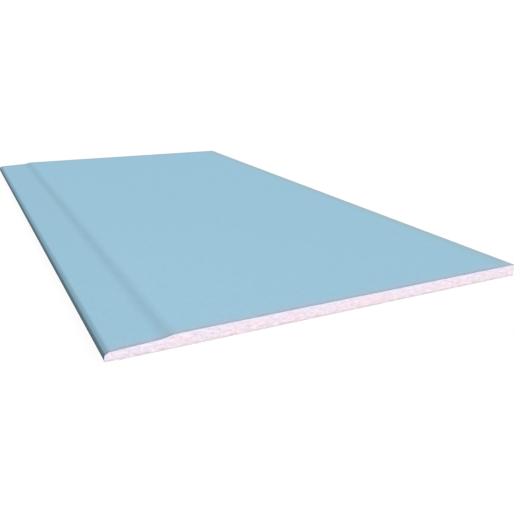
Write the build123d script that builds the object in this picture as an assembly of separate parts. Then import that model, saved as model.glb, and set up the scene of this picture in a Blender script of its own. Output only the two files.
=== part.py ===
from build123d import *
from math import atan2, hypot, pi, tan
import os

# A sheet of drywall cut from a wider board, lying flat with its face up.
# One long edge is the tapered, paper-wrapped edge of the board. The other three edges are cut square.
# X runs across the sheet, with the tapered edge at -X. Y runs along it, and Z runs up from its back.
# The origin is at the middle of the back. Lengths are in millimetres and angles in radians.
# Each piece is a section, drawn across the sheet from the tapered edge, that runs its whole length.

# Sheet
board_length = 840.0
board_width = 450.0
board_thickness = 12.5
paper_thickness = 0.4

# Tapered edge: a sloping land where the joint tape is bedded, then a rounded ramp up to the face
edge_drop = 4.25
land_width = 46.8
land_drop = 2.265
ramp_width = 11.0
ramp_round_share = 0.32

# Nose: the land bends down to a short slope at the edge, which rounds into the upright
nose_width = 4.3
nose_drop = 2.1
nose_head_radius = 7.0
nose_foot_radius = 2.5
nose_foot_limit_share = 0.95

# Paper under the tapered edge: the face paper is folded under, and the back paper laps over the fold
fold_inner_radius = 0.6
fold_lap = 25.0
back_paper_margin = 10.0

# Heights above the floor
edge_top = board_thickness - edge_drop
land_top = board_thickness - land_drop
core_bottom = paper_thickness

# The ramp's two bends, each as large as its share of the ramp allows
land_slope = atan2(edge_drop - land_drop, land_width)
ramp_slope = atan2(land_drop, ramp_width)
ramp_round_run = ramp_round_share * hypot(ramp_width, land_drop)
ramp_head_radius = ramp_round_run / tan(ramp_slope / 2)
ramp_foot_radius = ramp_round_run / tan((ramp_slope - land_slope) / 2)

# The nose starts on the land, and its foot is no rounder than the upright below it allows
fold_radius = fold_inner_radius + paper_thickness
nose_head = edge_top + nose_width * tan(land_slope)
nose_foot = nose_head - nose_drop
nose_turn = pi / 2 - atan2(nose_drop, nose_width)
upright = nose_foot - core_bottom - fold_radius
nose_foot_round = min(nose_foot_radius, nose_foot_limit_share * upright / tan(nose_turn / 2))


def face_line():
    """The outside of the face paper, from the cut edge over the taper to the end of the fold."""
    return FilletPolyline(
        (board_width, board_thickness),
        (land_width + ramp_width, board_thickness),
        (land_width, land_top),
        (nose_width, nose_head),
        (0, nose_foot),
        (0, core_bottom),
        (fold_lap, core_bottom),
        radius=[ramp_head_radius, ramp_foot_radius, nose_head_radius, nose_foot_round, fold_radius],
    )


def face_paper_section():
    """Face paper: one thickness inside the face line, from the cut edge to the end of the fold."""
    return make_face(offset(face_line(), amount=paper_thickness, side=Side.LEFT).edges())


def core_section():
    """Gypsum core: what is left inside the face line, down to the back paper."""
    outline = face_line()
    cut_edge = Polyline(outline @ 1, (board_width, core_bottom), outline @ 0)
    return make_face(outline.edges() + cut_edge.edges()) - face_paper_section()


def back_paper_section():
    """Back paper: flat under the core, from inside the fold to the cut edge."""
    return make_face(
        Polyline(
            (back_paper_margin, 0),
            (board_width, 0),
            (board_width, paper_thickness),
            (back_paper_margin, paper_thickness),
            close=True,
        ).edges()
    )


def along_sheet(section):
    """The piece that a section makes when it runs the whole length of the sheet."""
    across = Plane.XZ * Pos(-board_width / 2, 0) * section
    return extrude(across, amount=board_length / 2, both=True)


pieces = {
    "gypsum_core": along_sheet(core_section()),
    "face_paper": along_sheet(face_paper_section()),
    "back_paper": along_sheet(back_paper_section()),
}

os.makedirs("parts", exist_ok=True)
for name, piece in pieces.items():
    export_step(piece, f"parts/{name}.step")
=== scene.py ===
import math

import bmesh
import bpy
from bpy.props import FloatProperty, FloatVectorProperty, IntProperty, PointerProperty
from bpy.types import Operator, Panel, PropertyGroup
from mathutils import Euler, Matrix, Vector, noise
from mathutils.bvhtree import BVHTree


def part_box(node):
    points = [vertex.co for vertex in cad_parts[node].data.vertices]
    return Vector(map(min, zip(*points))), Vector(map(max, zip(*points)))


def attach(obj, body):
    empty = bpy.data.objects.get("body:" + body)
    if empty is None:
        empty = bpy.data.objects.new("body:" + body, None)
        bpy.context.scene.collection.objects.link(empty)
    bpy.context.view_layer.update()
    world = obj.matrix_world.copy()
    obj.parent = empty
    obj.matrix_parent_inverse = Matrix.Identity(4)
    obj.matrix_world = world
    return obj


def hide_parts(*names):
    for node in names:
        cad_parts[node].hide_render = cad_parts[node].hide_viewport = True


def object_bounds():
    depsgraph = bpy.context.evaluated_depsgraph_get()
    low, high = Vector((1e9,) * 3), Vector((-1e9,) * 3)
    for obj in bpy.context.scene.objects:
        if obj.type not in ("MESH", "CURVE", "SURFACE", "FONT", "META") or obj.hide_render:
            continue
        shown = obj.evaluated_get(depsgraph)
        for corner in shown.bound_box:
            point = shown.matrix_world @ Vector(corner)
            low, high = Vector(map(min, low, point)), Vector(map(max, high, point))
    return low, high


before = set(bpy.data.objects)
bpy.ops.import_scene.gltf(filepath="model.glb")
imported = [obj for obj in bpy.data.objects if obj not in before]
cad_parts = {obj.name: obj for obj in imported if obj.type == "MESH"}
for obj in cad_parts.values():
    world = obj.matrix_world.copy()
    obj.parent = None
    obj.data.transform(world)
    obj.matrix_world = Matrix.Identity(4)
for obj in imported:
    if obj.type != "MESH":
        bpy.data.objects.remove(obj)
CAD_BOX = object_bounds()

bl_info = {
    "name": "Drywall Sheet",
    "version": (1, 0, 0),
    "blender": (4, 5, 0),
    "location": "3D View > Sidebar > Drywall",
    "description": "A cut sheet of gypsum board with its papers, its foamed core and a plain studio",
    "category": "Add Mesh",
}

MM = 0.001
ACROSS = Vector((1, 0, 0))
UP = Vector((0, 0, 1))
SHEET_SIZE = CAD_BOX[1] - CAD_BOX[0]
BACK_LOW, BACK_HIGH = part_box("back_paper")

# Points closer than this are one point.
SAME_PLACE = 0.001 * MM

# Faces that meet at less than this angle are shaded as one.
SMOOTH_BELOW = math.radians(30)

# A face looks along an axis when its normal has at least this share along it.
FACING = 0.9

# Most values of a noise texture lie between these two.
NOISE_LOW = 0.3
NOISE_HIGH = 0.7

# Sets bubbles that touch far apart in the noise that gives each its size.
SEED_SPREAD = 97.0


def linear(hex_code):
    """An sRGB hex colour as linear red, green and blue."""
    shares = [int(hex_code[place:place + 2], 16) / 255 for place in (1, 3, 5)]
    return [s / 12.92 if s <= 0.04045 else ((s + 0.055) / 1.055) ** 2.4 for s in shares]


def length_property(name, description, default):
    """A length that a user may change, in metres."""
    return FloatProperty(name=name, description=description, default=default, unit="LENGTH", precision=4)


def angle_property(name, description, degrees):
    """An angle that a user may change, given here in degrees."""
    return FloatProperty(name=name, description=description, default=math.radians(degrees), subtype="ANGLE")


def share_property(name, description, default):
    """A share that a user may change, from none to all."""
    return FloatProperty(
        name=name, description=description, default=default, subtype="FACTOR", min=0, max=1
    )


def colour_property(name, description, hex_code):
    """A colour that a user may change, given here in sRGB."""
    return FloatVectorProperty(
        name=name, description=description, default=linear(hex_code), subtype="COLOR", min=0, max=1
    )


class SheetSizes(PropertyGroup):
    """The sheet's overall sizes, read from the CAD parts in model.glb."""

    length: length_property("Length", "Along the tapered edge", SHEET_SIZE.y)
    width: length_property("Width", "From the tapered edge to the cut edge", SHEET_SIZE.x)
    thickness: length_property("Thickness", "From the back to the face", SHEET_SIZE.z)
    paper: length_property("Paper", "Thickness of each paper", BACK_HIGH.z - BACK_LOW.z)
    back_margin: length_property(
        "Back margin", "From the tapered edge to the back paper", BACK_LOW.x - CAD_BOX[0].x
    )


class TaperSizes(PropertyGroup):
    """The long edge that is thinned for joint tape and wrapped in the face paper."""

    edge_drop: length_property("Edge drop", "From the face down to the land's line at the edge", 4.25 * MM)
    land_width: length_property("Land width", "From the edge to the foot of the ramp", 46.8 * MM)
    land_drop: length_property("Land drop", "From the face down to the foot of the ramp", 2.265 * MM)
    ramp_width: length_property("Ramp width", "From the foot of the ramp to its head", 11.0 * MM)
    ramp_round_share: share_property("Ramp rounding", "Share of the ramp that each bend takes", 0.32)
    nose_width: length_property("Nose width", "From the edge to where the land bends down", 4.3 * MM)
    nose_drop: length_property("Nose drop", "From there down to the upright", 2.1 * MM)
    nose_head_radius: length_property("Nose head radius", "Bend from the land to the nose", 7.0 * MM)
    nose_foot_radius: length_property("Nose foot radius", "Bend from the nose to the upright", 2.5 * MM)
    fold_inner_radius: length_property("Fold radius", "Inside the paper's fold under the edge", 0.6 * MM)
    fold_lap: length_property("Fold lap", "How far the face paper runs under the back", 25 * MM)
    bend_segments: IntProperty(name="Bend segments", description="Faces round each bend", default=16, min=2)


class CutFaces(PropertyGroup):
    """The foamed core where it is cut: two ends and one long side."""

    cell: length_property("Cell", "Spacing of the cut faces' mesh", 0.5 * MM)
    bubble_spacing: length_property("Bubble spacing", "Between bubbles large enough to show", 5.0 * MM)
    bubble_radius: length_property("Bubble radius", "Of the largest bubbles", 1.1 * MM)
    bubble_least: share_property("Least bubble", "The smallest bubble, as a share of the largest", 0.4)
    pit_depth: length_property("Pit depth", "Deepest pit that a cut bubble leaves", 0.16 * MM)
    paper_margin: length_property("Paper margin", "Without full pits, beside a paper", 1.2 * MM)
    skin_depth: length_property("Skin depth", "Dense gypsum that fades out under the face paper", 5 * MM)
    smear_depth: length_property("Smear depth", "Gypsum that is grey with the back paper's fibres", 2.6 * MM)
    smear_ragged: length_property("Smear raggedness", "How far the smear's border wanders", 3.0 * MM)


class EdgeWear(PropertyGroup):
    """How far in the face paper is worn from its cut edges."""

    bruise: length_property("Bruise", "Crushed line along the sawn end", 2.0 * MM)
    bruise_fade: length_property("Bruise fade", "Over which the bruise gives way to dust", 2.5 * MM)
    dust: length_property("Dust", "Dusty band along the sawn end", 4.0 * MM)
    dust_fade: length_property("Dust fade", "Over which the dust thins out", 9.0 * MM)
    scuff: length_property("Scuff", "Rubbed band along the snapped edges", 6.0 * MM)
    scuff_fade: length_property("Scuff fade", "Over which the rubbing thins out", 12.0 * MM)
    ragged: length_property("Raggedness", "How far these borders wander", 4.0 * MM)


class Finishes(PropertyGroup):
    """The colours of the sheet."""

    face: colour_property("Face paper", "Dyed face of the sheet", "#9BC3D7")
    bruise: colour_property("Bruised face paper", "Along the sawn end", "#A3B2C6")
    dust: colour_property("Dusty face paper", "Inside the bruise", "#A7BFD0")
    scuff: colour_property("Scuffed face paper", "Along the snapped edges", "#A0BCC8")
    back: colour_property("Back paper", "Undyed back of the sheet", "#C9C2B8")
    face_pulp: colour_property("Face paper's edge", "Pale plies under the dyed one", "#EDEDFD")
    back_pulp: colour_property("Back paper's edge", "Raw grey pulp", "#E2DBDE")
    foam: colour_property("Foamed gypsum", "Most of the core", "#FFEBF5")
    cool_foam: colour_property("Cooler gypsum", "Where the core is less pink", "#F6EFFD")
    # Painted shade: a darker colour painted into the cut bubbles and pores, standing in for the shade in
    # these hollows.
    painted_hollow_shade: colour_property("Foamed gypsum, darker", "In cut bubbles and pores", "#F4E2ED")
    skin: colour_property("Dense gypsum", "Layer under the face paper", "#F3F0FF")
    smear: colour_property("Smeared gypsum", "Over the back paper", "#E2D8DE")


class Studio(PropertyGroup):
    """Camera, lamps and floor."""

    camera_place: FloatVectorProperty(
        name="Camera", description="Where the camera stands", default=(-0.31008, -0.83519, 0.23037),
        subtype="TRANSLATION", unit="LENGTH"
    )
    camera_down: angle_property("Look down", "Below the horizon", 19.148)
    camera_right: angle_property("Look right", "From straight along the sheet", 27.536)
    camera_roll: angle_property("Roll", "Tilt of the picture", 0.921)
    lens: FloatProperty(
        name="Lens", description="Focal length in millimetres", default=41.712, unit="CAMERA", min=1
    )
    key_up: angle_property("Key height", "Above the horizon", 33)
    key_right: angle_property("Key side", "To the right of the near end", 42)
    key_spread: angle_property("Key spread", "Width of the key lamp as seen", 25)
    key_strength: FloatProperty(name="Key strength", description="Watts a square metre", default=3.43)
    fill_up: angle_property("Fill height", "Above the horizon, behind the far end", 1)
    fill_spread: angle_property("Fill spread", "Width of the fill lamp as seen", 2)
    fill_strength: FloatProperty(name="Fill strength", description="Watts a square metre", default=1.6)
    soft_place: FloatVectorProperty(
        name="Soft lamp", description="Where the soft lamp hangs", default=(-0.21, -0.36, 0.35),
        subtype="TRANSLATION", unit="LENGTH"
    )
    soft_size: length_property("Soft size", "Each side of the soft lamp", 0.2)
    soft_strength: FloatProperty(name="Soft strength", description="In watts", default=0.045)
    sky_strength: FloatProperty(name="Sky strength", description="Even light from all round", default=0.4)
    floor_size: length_property("Floor size", "Each side of the floor", 12.0)
    floor_gap: length_property("Floor gap", "From the floor up to the back paper", 0.05 * MM)
    floor_glow: share_property("Floor glow", "Share of the floor's white that no shadow takes", 0.94)
    floor_bounce: colour_property("Floor bounce", "What the floor sends back to the sheet", "#6E6763")


class DrywallSheet(PropertyGroup):
    """Everything that a user may change."""

    sizes: PointerProperty(type=SheetSizes)
    taper: PointerProperty(type=TaperSizes)
    cuts: PointerProperty(type=CutFaces)
    wear: PointerProperty(type=EdgeWear)
    finishes: PointerProperty(type=Finishes)
    studio: PointerProperty(type=Studio)


def face_line(sheet):
    """Corners of the face paper's outside, from the cut edge over the taper to the end of the fold."""
    sizes, taper = sheet.sizes, sheet.taper
    edge, top, under = -sizes.width / 2, sizes.thickness, sizes.paper
    land_slope = (taper.edge_drop - taper.land_drop) / taper.land_width
    nose_head = top - taper.edge_drop + taper.nose_width * land_slope
    return [
        Vector((sizes.width / 2, top)),
        Vector((edge + taper.land_width + taper.ramp_width, top)),
        Vector((edge + taper.land_width, top - taper.land_drop)),
        Vector((edge + taper.nose_width, nose_head)),
        Vector((edge, nose_head - taper.nose_drop)),
        Vector((edge, under)),
        Vector((edge + taper.fold_lap, under)),
    ]


def sides_of(line):
    """Direction of each side of a line of corners."""
    return [(end - start).normalized() for start, end in zip(line, line[1:])]


def turns_of(line):
    """Angle that a line turns by at each corner between its ends, positive to the left."""
    sides = sides_of(line)
    return [math.atan2(a.x * b.y - a.y * b.x, a.dot(b)) for a, b in zip(sides, sides[1:])]


def inset(line, depth):
    """A line moved to its left by depth: each corner goes to where its moved sides meet."""
    inward = [Vector((-side.y, side.x)) for side in sides_of(line)]
    before, after = inward[:1] + inward, inward + inward[-1:]
    return [corner + (a + b) * depth / (1 + a.dot(b)) for corner, a, b in zip(line, before, after)]


def bend_runs(sheet, line, depth=0.0):
    """How far each bend of the face line reaches from its corner, at a depth inside the line."""
    taper = sheet.taper
    ramp_head, ramp_foot = line[1:3]
    ramp_run = taper.ramp_round_share * (ramp_foot - ramp_head).length
    turns = turns_of(line)
    radii = [taper.nose_head_radius, taper.nose_foot_radius, taper.fold_inner_radius + sheet.sizes.paper]
    runs = [ramp_run, ramp_run, *(radius * math.tan(turn / 2) for radius, turn in zip(radii, turns[2:]))]
    return [run - depth * math.tan(turn / 2) for run, turn in zip(runs, turns)]


def round_long_edge(mesh, corner, run, segments):
    """Rounds the edge that runs along the sheet at a corner of its section."""
    along = [
        edge for edge in mesh.edges
        if all((Vector((vert.co.x, vert.co.z)) - corner).length < SAME_PLACE for vert in edge.verts)
    ]
    bmesh.ops.bevel(
        mesh, geom=along, offset=run, offset_type="OFFSET", segments=segments, profile=0.5,
        affect="EDGES", material=-1
    )


def run_along(mesh, extruded, length):
    """Moves what was just extruded to the far end of the sheet."""
    moved = [item for item in extruded["geom"] if isinstance(item, bmesh.types.BMVert)]
    bmesh.ops.translate(mesh, verts=moved, vec=(0, length, 0))


def paper_strip(line, length):
    """An open strip of paper along the sheet, with a line of corners as its section."""
    mesh = bmesh.new()
    near = [mesh.verts.new((corner.x, -length / 2, corner.y)) for corner in line]
    edges = [mesh.edges.new(pair) for pair in zip(near, near[1:])]
    run_along(mesh, bmesh.ops.extrude_edge_only(mesh, edges=edges), length)
    mesh.normal_update()
    return mesh


def thicken_paper(mesh, thickness):
    """Gives a strip its thickness, on its inside, and marks its cut edges as the second material."""
    strip = set(mesh.verts)
    bmesh.ops.solidify(mesh, geom=list(mesh.faces), thickness=thickness)
    mesh.normal_update()
    for face in mesh.faces:
        on_strip = sum(vert in strip for vert in face.verts)
        face.material_index = int(0 < on_strip < len(face.verts))


def finished_piece(name, mesh, materials, node):
    """Makes a mesh a piece of the sheet that stands for a CAD node."""
    for face in mesh.faces:
        face.smooth = True
    for edge in mesh.edges:
        edge.smooth = edge.calc_face_angle(0) < SMOOTH_BELOW
    data = bpy.data.meshes.new(name)
    mesh.to_mesh(data)
    mesh.free()
    for material in materials:
        data.materials.append(material)
    piece = bpy.data.objects.new(name, data)
    bpy.context.scene.collection.objects.link(piece)
    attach(piece, "root")
    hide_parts(node)
    return piece


def add_node(tree, kind, inputs, **settings):
    """Adds a node, gives it its settings, and sets or links its inputs. A plain colour gets a full alpha."""
    node = tree.nodes.new(kind)
    for name, value in settings.items():
        setattr(node, name, value)
    for name, value in inputs.items():
        socket = node.inputs[name]
        if isinstance(value, bpy.types.NodeSocket):
            tree.links.new(value, socket)
        elif socket.type == "RGBA":
            socket.default_value = (*value, 1)
        else:
            socket.default_value = value
    return node


def new_material(name):
    """An empty node material and its tree."""
    material = bpy.data.materials.new(name)
    material.use_nodes = True
    material.node_tree.nodes.clear()
    return material, material.node_tree


def finish_material(tree, colour, height, depth, roughness, specular):
    """Ends a material: a colour, a relief that is depth high, and its gloss."""
    relief = add_node(tree, "ShaderNodeBump", {"Height": height, "Distance": depth, "Strength": 1.0})
    shader = add_node(tree, "ShaderNodeBsdfPrincipled", {
        "Base Color": colour,
        "Roughness": roughness,
        "Specular IOR Level": specular,
        "Normal": relief.outputs["Normal"],
    })
    add_node(tree, "ShaderNodeOutputMaterial", {"Surface": shader.outputs["BSDF"]})


def varied(tree, colour, noise_value, swing):
    """A colour that gets darker and lighter by a swing, as a noise does."""
    share = add_node(tree, "ShaderNodeMapRange", {
        "Value": noise_value, "From Min": NOISE_LOW, "From Max": NOISE_HIGH,
        "To Min": 1 - swing, "To Max": 1 + swing
    })
    return add_node(tree, "ShaderNodeVectorMath", {
        0: colour, "Scale": share.outputs["Result"]
    }, operation="SCALE").outputs["Vector"]


def blend(tree, value, low, high, low_colour, high_colour, curve="LINEAR"):
    """A colour that turns from one to another as a value goes from low to high."""
    share = add_node(tree, "ShaderNodeMapRange", {
        "Value": value, "From Min": low, "From Max": high
    }, interpolation_type=curve)
    return add_node(tree, "ShaderNodeMix", {
        "Factor": share.outputs["Result"], "A": low_colour, "B": high_colour
    }, data_type="RGBA").outputs["Result"]


def inside_cut_edges(tree, place, sizes, wander):
    """How far a place lies inside the sawn near end, and inside the nearer of the two snapped edges at the
    far end and the side, each give or take a wander."""
    part = add_node(tree, "ShaderNodeSeparateXYZ", {"Vector": place})
    sawn = add_node(tree, "ShaderNodeMath", {0: sizes.length / 2, 1: part.outputs["Y"]}, operation="ADD")
    far = add_node(tree, "ShaderNodeMath", {0: sizes.length / 2, 1: part.outputs["Y"]}, operation="SUBTRACT")
    side = add_node(tree, "ShaderNodeMath", {0: sizes.width / 2, 1: part.outputs["X"]}, operation="SUBTRACT")
    snapped = add_node(tree, "ShaderNodeMath", {
        0: far.outputs["Value"], 1: side.outputs["Value"]
    }, operation="MINIMUM")
    ragged = [
        add_node(tree, "ShaderNodeMath", {0: distance.outputs["Value"], 1: wander}, operation="ADD")
        for distance in (sawn, snapped)
    ]
    return [distance.outputs["Value"] for distance in ragged]


def face_paper_material(sheet):
    """Dyed and sized paper, pressed flat by the board line: matt and even, with a faint cloud of pulp and
    fibres that lie along the sheet. Its sawn end is bruised and dusty, and its snapped edges are scuffed.
    Real fibres are much finer, and are drawn 0.8 mm wide so that they show."""
    finishes, wear = sheet.finishes, sheet.wear
    cloud_size = 7 * MM
    fibre_width = 0.8 * MM
    fibre_length = 9 * MM
    relief_depth = 0.04 * MM
    material, tree = new_material("dyed_face_paper")
    place = add_node(tree, "ShaderNodeTexCoord", {}).outputs["Object"]
    cloud = add_node(tree, "ShaderNodeTexNoise", {"Vector": place, "Scale": 1 / cloud_size, "Detail": 3.0})
    lie = add_node(tree, "ShaderNodeMapping", {
        "Vector": place, "Scale": (1 / fibre_width, 1 / fibre_length, 1 / fibre_width)
    })
    fibre = add_node(tree, "ShaderNodeTexNoise", {
        "Vector": lie.outputs["Vector"], "Scale": 1.0, "Detail": 2.0
    })
    pulp = add_node(tree, "ShaderNodeMix", {"A": cloud.outputs["Fac"], "B": fibre.outputs["Fac"]})
    wander = add_node(tree, "ShaderNodeMath", {
        0: cloud.outputs["Fac"], 1: wear.ragged, 2: -wear.ragged / 2
    }, operation="MULTIPLY_ADD")
    sawn, snapped = inside_cut_edges(tree, place, sheet.sizes, wander.outputs["Value"])
    scuffed = blend(tree, snapped, wear.scuff, wear.scuff + wear.scuff_fade, finishes.scuff, finishes.face)
    dusty = blend(tree, sawn, wear.dust, wear.dust + wear.dust_fade, finishes.dust, scuffed)
    worn = blend(tree, sawn, wear.bruise, wear.bruise + wear.bruise_fade, finishes.bruise, dusty)
    pulped = varied(tree, worn, pulp.outputs["Result"], swing=0.03)
    finish_material(tree, pulped, pulp.outputs["Result"], relief_depth, roughness=0.9, specular=0.0)
    return material


def back_paper_material(finishes):
    """Undyed paper of recycled pulp: matt, warm grey, with light and dark flecks of old print."""
    cloud_size = 9 * MM
    fleck_size = 1.6 * MM
    relief_depth = 0.06 * MM
    material, tree = new_material("recycled_back_paper")
    place = add_node(tree, "ShaderNodeTexCoord", {}).outputs["Object"]
    cloud = add_node(tree, "ShaderNodeTexNoise", {"Vector": place, "Scale": 1 / cloud_size, "Detail": 4.0})
    fleck = add_node(tree, "ShaderNodeTexNoise", {"Vector": place, "Scale": 1 / fleck_size, "Detail": 2.0})
    pulp = add_node(tree, "ShaderNodeMix", {"A": cloud.outputs["Fac"], "B": fleck.outputs["Fac"]})
    flecked = varied(tree, finishes.back, pulp.outputs["Result"], swing=0.12)
    finish_material(tree, flecked, pulp.outputs["Result"], relief_depth, roughness=0.9, specular=0.2)
    return material


def paper_edge_material(name, pulp_colour):
    """Raw pulp at a cut paper edge: matt and a little fuzzy, uneven along the cut."""
    tuft_size = 1.5 * MM
    relief_depth = 0.04 * MM
    material, tree = new_material(name)
    place = add_node(tree, "ShaderNodeTexCoord", {}).outputs["Object"]
    tuft = add_node(tree, "ShaderNodeTexNoise", {"Vector": place, "Scale": 1 / tuft_size, "Detail": 2.0})
    tufted = varied(tree, pulp_colour, tuft.outputs["Fac"], swing=0.08)
    finish_material(tree, tufted, tuft.outputs["Fac"], relief_depth, roughness=0.95, specular=0.1)
    return material


def foamed_gypsum_material(sheet):
    """Foamed gypsum, sawn: dead matt and chalky, pale pink in cooler and warmer blotches, with painted shade
    as darker specks in the bubbles and pores that are cut through. It is whiter in the dense layer that is
    cast first, under the face paper, and grey where the saw drags fibres of the back paper into it. Real
    crystals and pores are
    finer: the grain is drawn some millimetres long and the pores 0.9 mm apart, so that they show."""
    finishes, cuts, paper = sheet.finishes, sheet.cuts, sheet.sizes.paper
    grain_length = 7 * MM
    grain_height = 2.2 * MM
    blotch_size = 14 * MM
    pore_spacing = 0.9 * MM
    pore_floor = 0.1
    pore_rim = 0.6
    relief_depth = 0.08 * MM
    material, tree = new_material("foamed_gypsum")
    place = add_node(tree, "ShaderNodeTexCoord", {}).outputs["Object"]
    sawing = add_node(tree, "ShaderNodeMapping", {
        "Vector": place, "Scale": (1 / grain_length, 1 / grain_length, 1 / grain_height)
    })
    grain = add_node(tree, "ShaderNodeTexNoise", {
        "Vector": sawing.outputs["Vector"], "Scale": 1.0, "Detail": 1.0
    })
    blotch = add_node(tree, "ShaderNodeTexNoise", {"Vector": place, "Scale": 1 / blotch_size, "Detail": 1.0})
    tinted = blend(tree, blotch.outputs["Fac"], NOISE_LOW, NOISE_HIGH, finishes.foam, finishes.cool_foam)
    pores = add_node(tree, "ShaderNodeTexVoronoi", {"Vector": place, "Scale": 1 / pore_spacing})
    beside_pore = add_node(tree, "ShaderNodeMapRange", {
        "Value": pores.outputs["Distance"], "From Min": pore_floor, "From Max": pore_rim
    })
    # Painted shade in the pores: the darker colour where the pore pattern dips.
    pore_shaded = blend(tree, beside_pore.outputs["Result"], 0, 1, finishes.painted_hollow_shade, tinted)
    depth = add_node(tree, "ShaderNodeAttribute", {}, attribute_name="skin_distance")
    layered = blend(tree, depth.outputs["Fac"], 0, cuts.skin_depth, finishes.skin, pore_shaded)
    part = add_node(tree, "ShaderNodeSeparateXYZ", {"Vector": place})
    ragged = add_node(tree, "ShaderNodeMath", {
        0: grain.outputs["Fac"], 1: cuts.smear_ragged, 2: part.outputs["Z"]
    }, operation="MULTIPLY_ADD")
    foot = paper + cuts.smear_ragged / 2
    sawn = blend(
        tree, ragged.outputs["Value"], foot, foot + cuts.smear_depth, finishes.smear, layered, "SMOOTHSTEP"
    )
    # Painted shade in the cut bubbles: the deeper the pit, the more of the darker colour.
    pit = add_node(tree, "ShaderNodeAttribute", {}, attribute_name="pit_share")
    pit_shaded = blend(tree, pit.outputs["Fac"], 0, 1, sawn, finishes.painted_hollow_shade)
    grained = varied(tree, pit_shaded, grain.outputs["Fac"], swing=0.085)
    relief = add_node(tree, "ShaderNodeMath", {
        0: grain.outputs["Fac"], 1: beside_pore.outputs["Result"]
    }, operation="ADD")
    finish_material(tree, grained, relief.outputs["Value"], relief_depth, roughness=0.95, specular=0.1)
    return material


def seen_directly(tree):
    """One for the rays that show the background: from the camera, and by way of gloss or glass."""
    path = add_node(tree, "ShaderNodeLightPath", {})
    gloss = add_node(tree, "ShaderNodeMath", {
        0: path.outputs["Is Glossy Ray"], 1: path.outputs["Is Transmission Ray"]
    }, operation="MAXIMUM")
    return add_node(tree, "ShaderNodeMath", {
        0: path.outputs["Is Camera Ray"], 1: gloss.outputs["Value"]
    }, operation="MAXIMUM").outputs["Value"]


def floor_material(studio):
    """Plain white floor: white to the camera with a soft shadow, and darker in what it sends back."""
    material, tree = new_material("white_floor")
    bounce = add_node(tree, "ShaderNodeBsdfDiffuse", {"Color": studio.floor_bounce})
    shadowed = add_node(tree, "ShaderNodeBsdfDiffuse", {"Color": (1, 1, 1)})
    white = add_node(tree, "ShaderNodeEmission", {"Color": (1, 1, 1), "Strength": 1.0})
    shown = add_node(tree, "ShaderNodeMixShader", {
        "Fac": studio.floor_glow, 1: shadowed.outputs["BSDF"], 2: white.outputs["Emission"]
    })
    floor = add_node(tree, "ShaderNodeMixShader", {
        "Fac": seen_directly(tree), 1: bounce.outputs["BSDF"], 2: shown.outputs["Shader"]
    })
    add_node(tree, "ShaderNodeOutputMaterial", {"Surface": floor.outputs["Shader"]})
    return material


def core_prism(sheet):
    """The core as a plain prism: inside the face paper, and on the back paper."""
    sizes, taper = sheet.sizes, sheet.taper
    outer = face_line(sheet)
    inner = inset(outer, sizes.paper)
    fold_end = Vector((outer[-1].x, sizes.paper))
    cut_foot = Vector((outer[0].x, sizes.paper))
    section = [*inner, fold_end, cut_foot]
    mesh = bmesh.new()
    near = mesh.faces.new([mesh.verts.new((corner.x, -sizes.length / 2, corner.y)) for corner in section])
    run_along(mesh, bmesh.ops.extrude_face_region(mesh, geom=[near]), sizes.length)
    bmesh.ops.recalc_face_normals(mesh, faces=list(mesh.faces))
    for corner, run in zip(inner[1:-1], bend_runs(sheet, outer, sizes.paper)):
        round_long_edge(mesh, corner, run, taper.bend_segments)
    return mesh


def slice_mesh(mesh, axis, low, high, step):
    """Cuts a mesh into slices of about one step along an axis."""
    count = round((high - low) / step)
    rest = list(mesh.faces)
    for index in range(1, count):
        place = low + (high - low) * index / count
        parts = {edge for face in rest for edge in face.edges}
        parts |= {vert for face in rest for vert in face.verts}
        cut = bmesh.ops.bisect_plane(
            mesh, geom=[*rest, *parts], dist=SAME_PLACE, plane_co=axis * place, plane_no=axis
        )
        faces = [item for item in cut["geom"] if isinstance(item, bmesh.types.BMFace)]
        rest = [face for face in faces if max(vert.co.dot(axis) for vert in face.verts) > place + SAME_PLACE]


def divide_cut_side(mesh, sheet):
    """Divides the long cut side of a sliced core into cells along the sheet."""
    side = sheet.sizes.width / 2
    along = [
        edge for edge in mesh.edges
        if all(abs(vert.co.x - side) < SAME_PLACE for vert in edge.verts)
        and abs(edge.verts[0].co.y - edge.verts[1].co.y) > sheet.cuts.cell
    ]
    cells = round(sheet.sizes.length / sheet.cuts.cell)
    bmesh.ops.subdivide_edges(mesh, edges=along, cuts=cells - 1, use_grid_fill=True)
    mesh.normal_update()


def pit_at(place, inward, cuts):
    """Depth of the cut bubble at a place on a cut face, or zero between bubbles."""
    _distances, seeds = noise.voronoi(place / cuts.bubble_spacing)
    seed = seeds[0]
    swing = (1 - cuts.bubble_least) * noise.cell(seed * SEED_SPREAD)
    radius = cuts.bubble_radius * (1 + cuts.bubble_least + swing) / 2
    to_centre = seed * cuts.bubble_spacing - place
    along = to_centre.dot(inward)
    across = to_centre - along * inward
    if across.length > radius:
        return 0.0
    return min(max(along + math.sqrt(radius ** 2 - across.length_squared), 0.0), cuts.pit_depth)


def face_paper_inside(sheet):
    """A search tree of the face paper's inside, down to the foot of the nose."""
    depth = sheet.sizes.paper
    line = inset(face_line(sheet), depth)[:-2]
    mesh = paper_strip(line, sheet.sizes.length)
    for corner, run in zip(line[1:-1], bend_runs(sheet, face_line(sheet), depth)):
        round_long_edge(mesh, corner, run, sheet.taper.bend_segments)
    tree = BVHTree.FromBMesh(mesh)
    mesh.free()
    return tree


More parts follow.
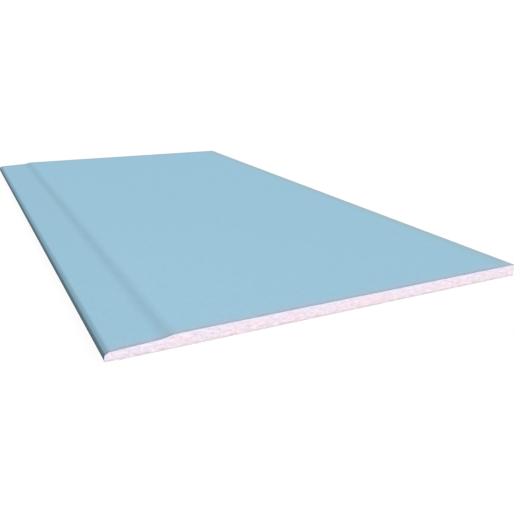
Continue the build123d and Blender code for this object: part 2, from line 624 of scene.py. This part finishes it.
def open_bubbles(mesh, sheet):
    """Pits the cut faces, less beside the papers, and notes each pit and how far it lies under the face."""
    sizes, cuts = sheet.sizes, sheet.cuts
    skin_distance = mesh.verts.layers.float.new("skin_distance")
    pit_share = mesh.verts.layers.float.new("pit_share")
    paper = face_paper_inside(sheet)
    cut_faces = [face for face in mesh.faces if abs(face.normal.y) > FACING or face.normal.x > FACING]
    ways_in = {vert: -vert.normal for face in cut_faces for vert in face.verts}
    for vert, inward in ways_in.items():
        _place, _normal, _face, under_face = paper.find_nearest(vert.co)
        inside_edge = vert.co.x + sizes.width / 2 - sizes.paper
        margin = min(under_face, inside_edge, vert.co.z - sizes.paper)
        pit = pit_at(vert.co, inward, cuts) * min(max(margin / cuts.paper_margin, 0.0), 1.0)
        vert[skin_distance] = under_face
        # The pit's share of the deepest pit is kept for the material, which paints shade into the pit by it.
        vert[pit_share] = pit / cuts.pit_depth
        vert.co += inward * pit


class DRYWALL_OT_face_paper(Operator):
    """Make the blue face paper, over the taper and round the long edge"""

    bl_idname = "drywall.face_paper"
    bl_label = "Face paper"

    def execute(self, context):
        sheet = context.scene.drywall_sheet
        line = face_line(sheet)
        mesh = paper_strip(line, sheet.sizes.length)
        for corner, run in zip(line[1:-1], bend_runs(sheet, line)):
            round_long_edge(mesh, corner, run, sheet.taper.bend_segments)
        thicken_paper(mesh, sheet.sizes.paper)
        edge = paper_edge_material("cut_face_paper_edge", sheet.finishes.face_pulp)
        materials = [face_paper_material(sheet), edge]
        finished_piece("wrapped_face_paper", mesh, materials, "face_paper")
        return {"FINISHED"}


class DRYWALL_OT_back_paper(Operator):
    """Make the back paper, flat under the core"""

    bl_idname = "drywall.back_paper"
    bl_label = "Back paper"

    def execute(self, context):
        sheet = context.scene.drywall_sheet
        half = sheet.sizes.width / 2
        line = [Vector((sheet.sizes.back_margin - half, 0)), Vector((half, 0))]
        mesh = paper_strip(line, sheet.sizes.length)
        thicken_paper(mesh, sheet.sizes.paper)
        edge = paper_edge_material("cut_back_paper_edge", sheet.finishes.back_pulp)
        materials = [back_paper_material(sheet.finishes), edge]
        finished_piece("flat_back_paper", mesh, materials, "back_paper")
        return {"FINISHED"}


class DRYWALL_OT_gypsum_core(Operator):
    """Make the foamed core, with cut bubbles on its three cut faces"""

    bl_idname = "drywall.gypsum_core"
    bl_label = "Gypsum core"

    def execute(self, context):
        sheet = context.scene.drywall_sheet
        sizes, cuts = sheet.sizes, sheet.cuts
        mesh = core_prism(sheet)
        slice_mesh(mesh, UP, sizes.paper, sizes.thickness - sizes.paper, cuts.cell)
        slice_mesh(mesh, ACROSS, -sizes.width / 2, sizes.width / 2, cuts.cell)
        divide_cut_side(mesh, sheet)
        open_bubbles(mesh, sheet)
        finished_piece("foamed_core", mesh, [foamed_gypsum_material(sheet)], "gypsum_core")
        return {"FINISHED"}


class DRYWALL_OT_studio(Operator):
    """Make the floor, the light and the camera"""

    bl_idname = "drywall.studio"
    bl_label = "Studio"

    def execute(self, context):
        studio = context.scene.drywall_sheet.studio
        self.make_floor(context.scene, studio)
        self.make_sky(context.scene, studio)
        self.make_lamps(context.scene, studio)
        self.make_camera(context.scene, studio)
        context.scene.view_settings.view_transform = "Standard"
        return {"FINISHED"}

    def make_floor(self, scene, studio):
        """A wide white floor, just under the sheet."""
        mesh = bmesh.new()
        bmesh.ops.create_grid(mesh, x_segments=1, y_segments=1, size=studio.floor_size / 2)
        data = bpy.data.meshes.new("floor")
        mesh.to_mesh(data)
        mesh.free()
        data.materials.append(floor_material(studio))
        floor = bpy.data.objects.new("floor", data)
        floor.location.z = -studio.floor_gap
        scene.collection.objects.link(floor)

    def make_sky(self, scene, studio):
        """A sky that is white to the eye, and weaker as a light."""
        world = bpy.data.worlds.new("sky")
        world.use_nodes = True
        tree = world.node_tree
        tree.nodes.clear()
        light = add_node(tree, "ShaderNodeBackground", {"Color": (1, 1, 1), "Strength": studio.sky_strength})
        white = add_node(tree, "ShaderNodeBackground", {"Color": (1, 1, 1), "Strength": 1.0})
        sky = add_node(tree, "ShaderNodeMixShader", {
            "Fac": seen_directly(tree), 1: light.outputs["Background"], 2: white.outputs["Background"]
        })
        add_node(tree, "ShaderNodeOutputWorld", {"Surface": sky.outputs["Shader"]})
        scene.world = world

    def make_lamps(self, scene, studio):
        """A wide key lamp on the right, a low fill lamp behind, and a weak soft lamp over the taper."""
        key = bpy.data.lights.new("key_lamp", "SUN")
        key.energy = studio.key_strength
        key.angle = studio.key_spread
        key_object = bpy.data.objects.new("key_lamp", key)
        key_object.rotation_euler = (math.pi / 2 - studio.key_up, 0, studio.key_right)
        fill = bpy.data.lights.new("fill_lamp", "SUN")
        fill.energy = studio.fill_strength
        fill.angle = studio.fill_spread
        fill_object = bpy.data.objects.new("fill_lamp", fill)
        fill_object.rotation_euler = (math.pi / 2 - studio.fill_up, 0, math.pi)
        soft = bpy.data.lights.new("soft_lamp", "AREA")
        soft.energy = studio.soft_strength
        soft.size = studio.soft_size
        soft_object = bpy.data.objects.new("soft_lamp", soft)
        soft_object.location = studio.soft_place
        for lamp_object in (key_object, fill_object, soft_object):
            scene.collection.objects.link(lamp_object)

    def make_camera(self, scene, studio):
        """The camera, above the near end and left of the sheet, looking along it."""
        camera = bpy.data.cameras.new("camera")
        camera.lens = studio.lens
        camera_object = bpy.data.objects.new("camera", camera)
        camera_object.location = studio.camera_place
        aim = Euler((math.pi / 2 - studio.camera_down, 0, -studio.camera_right)).to_matrix()
        roll = Euler((0, 0, studio.camera_roll)).to_matrix()
        camera_object.rotation_euler = (aim @ roll).to_euler()
        scene.collection.objects.link(camera_object)
        scene.camera = camera_object


class VIEW3D_PT_drywall(Panel):
    """Lists the sheet's pieces and sizes"""

    bl_label = "Drywall Sheet"
    bl_space_type = "VIEW_3D"
    bl_region_type = "UI"
    bl_category = "Drywall"

    def draw(self, context):
        sheet = context.scene.drywall_sheet
        for operator in OPERATORS:
            self.layout.operator(operator.bl_idname)
        for group in (sheet.sizes, sheet.taper, sheet.cuts, sheet.wear, sheet.finishes, sheet.studio):
            box = self.layout.box()
            for name in group.__annotations__:
                box.prop(group, name)


GROUPS = (SheetSizes, TaperSizes, CutFaces, EdgeWear, Finishes, Studio, DrywallSheet)
OPERATORS = (DRYWALL_OT_face_paper, DRYWALL_OT_back_paper, DRYWALL_OT_gypsum_core, DRYWALL_OT_studio)


def register():
    """Adds the classes to Blender, and the sheet's values to its scenes."""
    for each in (*GROUPS, *OPERATORS, VIEW3D_PT_drywall):
        bpy.utils.register_class(each)
    bpy.types.Scene.drywall_sheet = PointerProperty(type=DrywallSheet)


def unregister():
    """Takes them out again."""
    del bpy.types.Scene.drywall_sheet
    for each in reversed((*GROUPS, *OPERATORS, VIEW3D_PT_drywall)):
        bpy.utils.unregister_class(each)


def main():
    """Makes the sheet and its studio."""
    register()
    bpy.ops.drywall.face_paper()
    bpy.ops.drywall.back_paper()
    bpy.ops.drywall.gypsum_core()
    bpy.ops.drywall.studio()


if __name__ == "__main__":
    main()
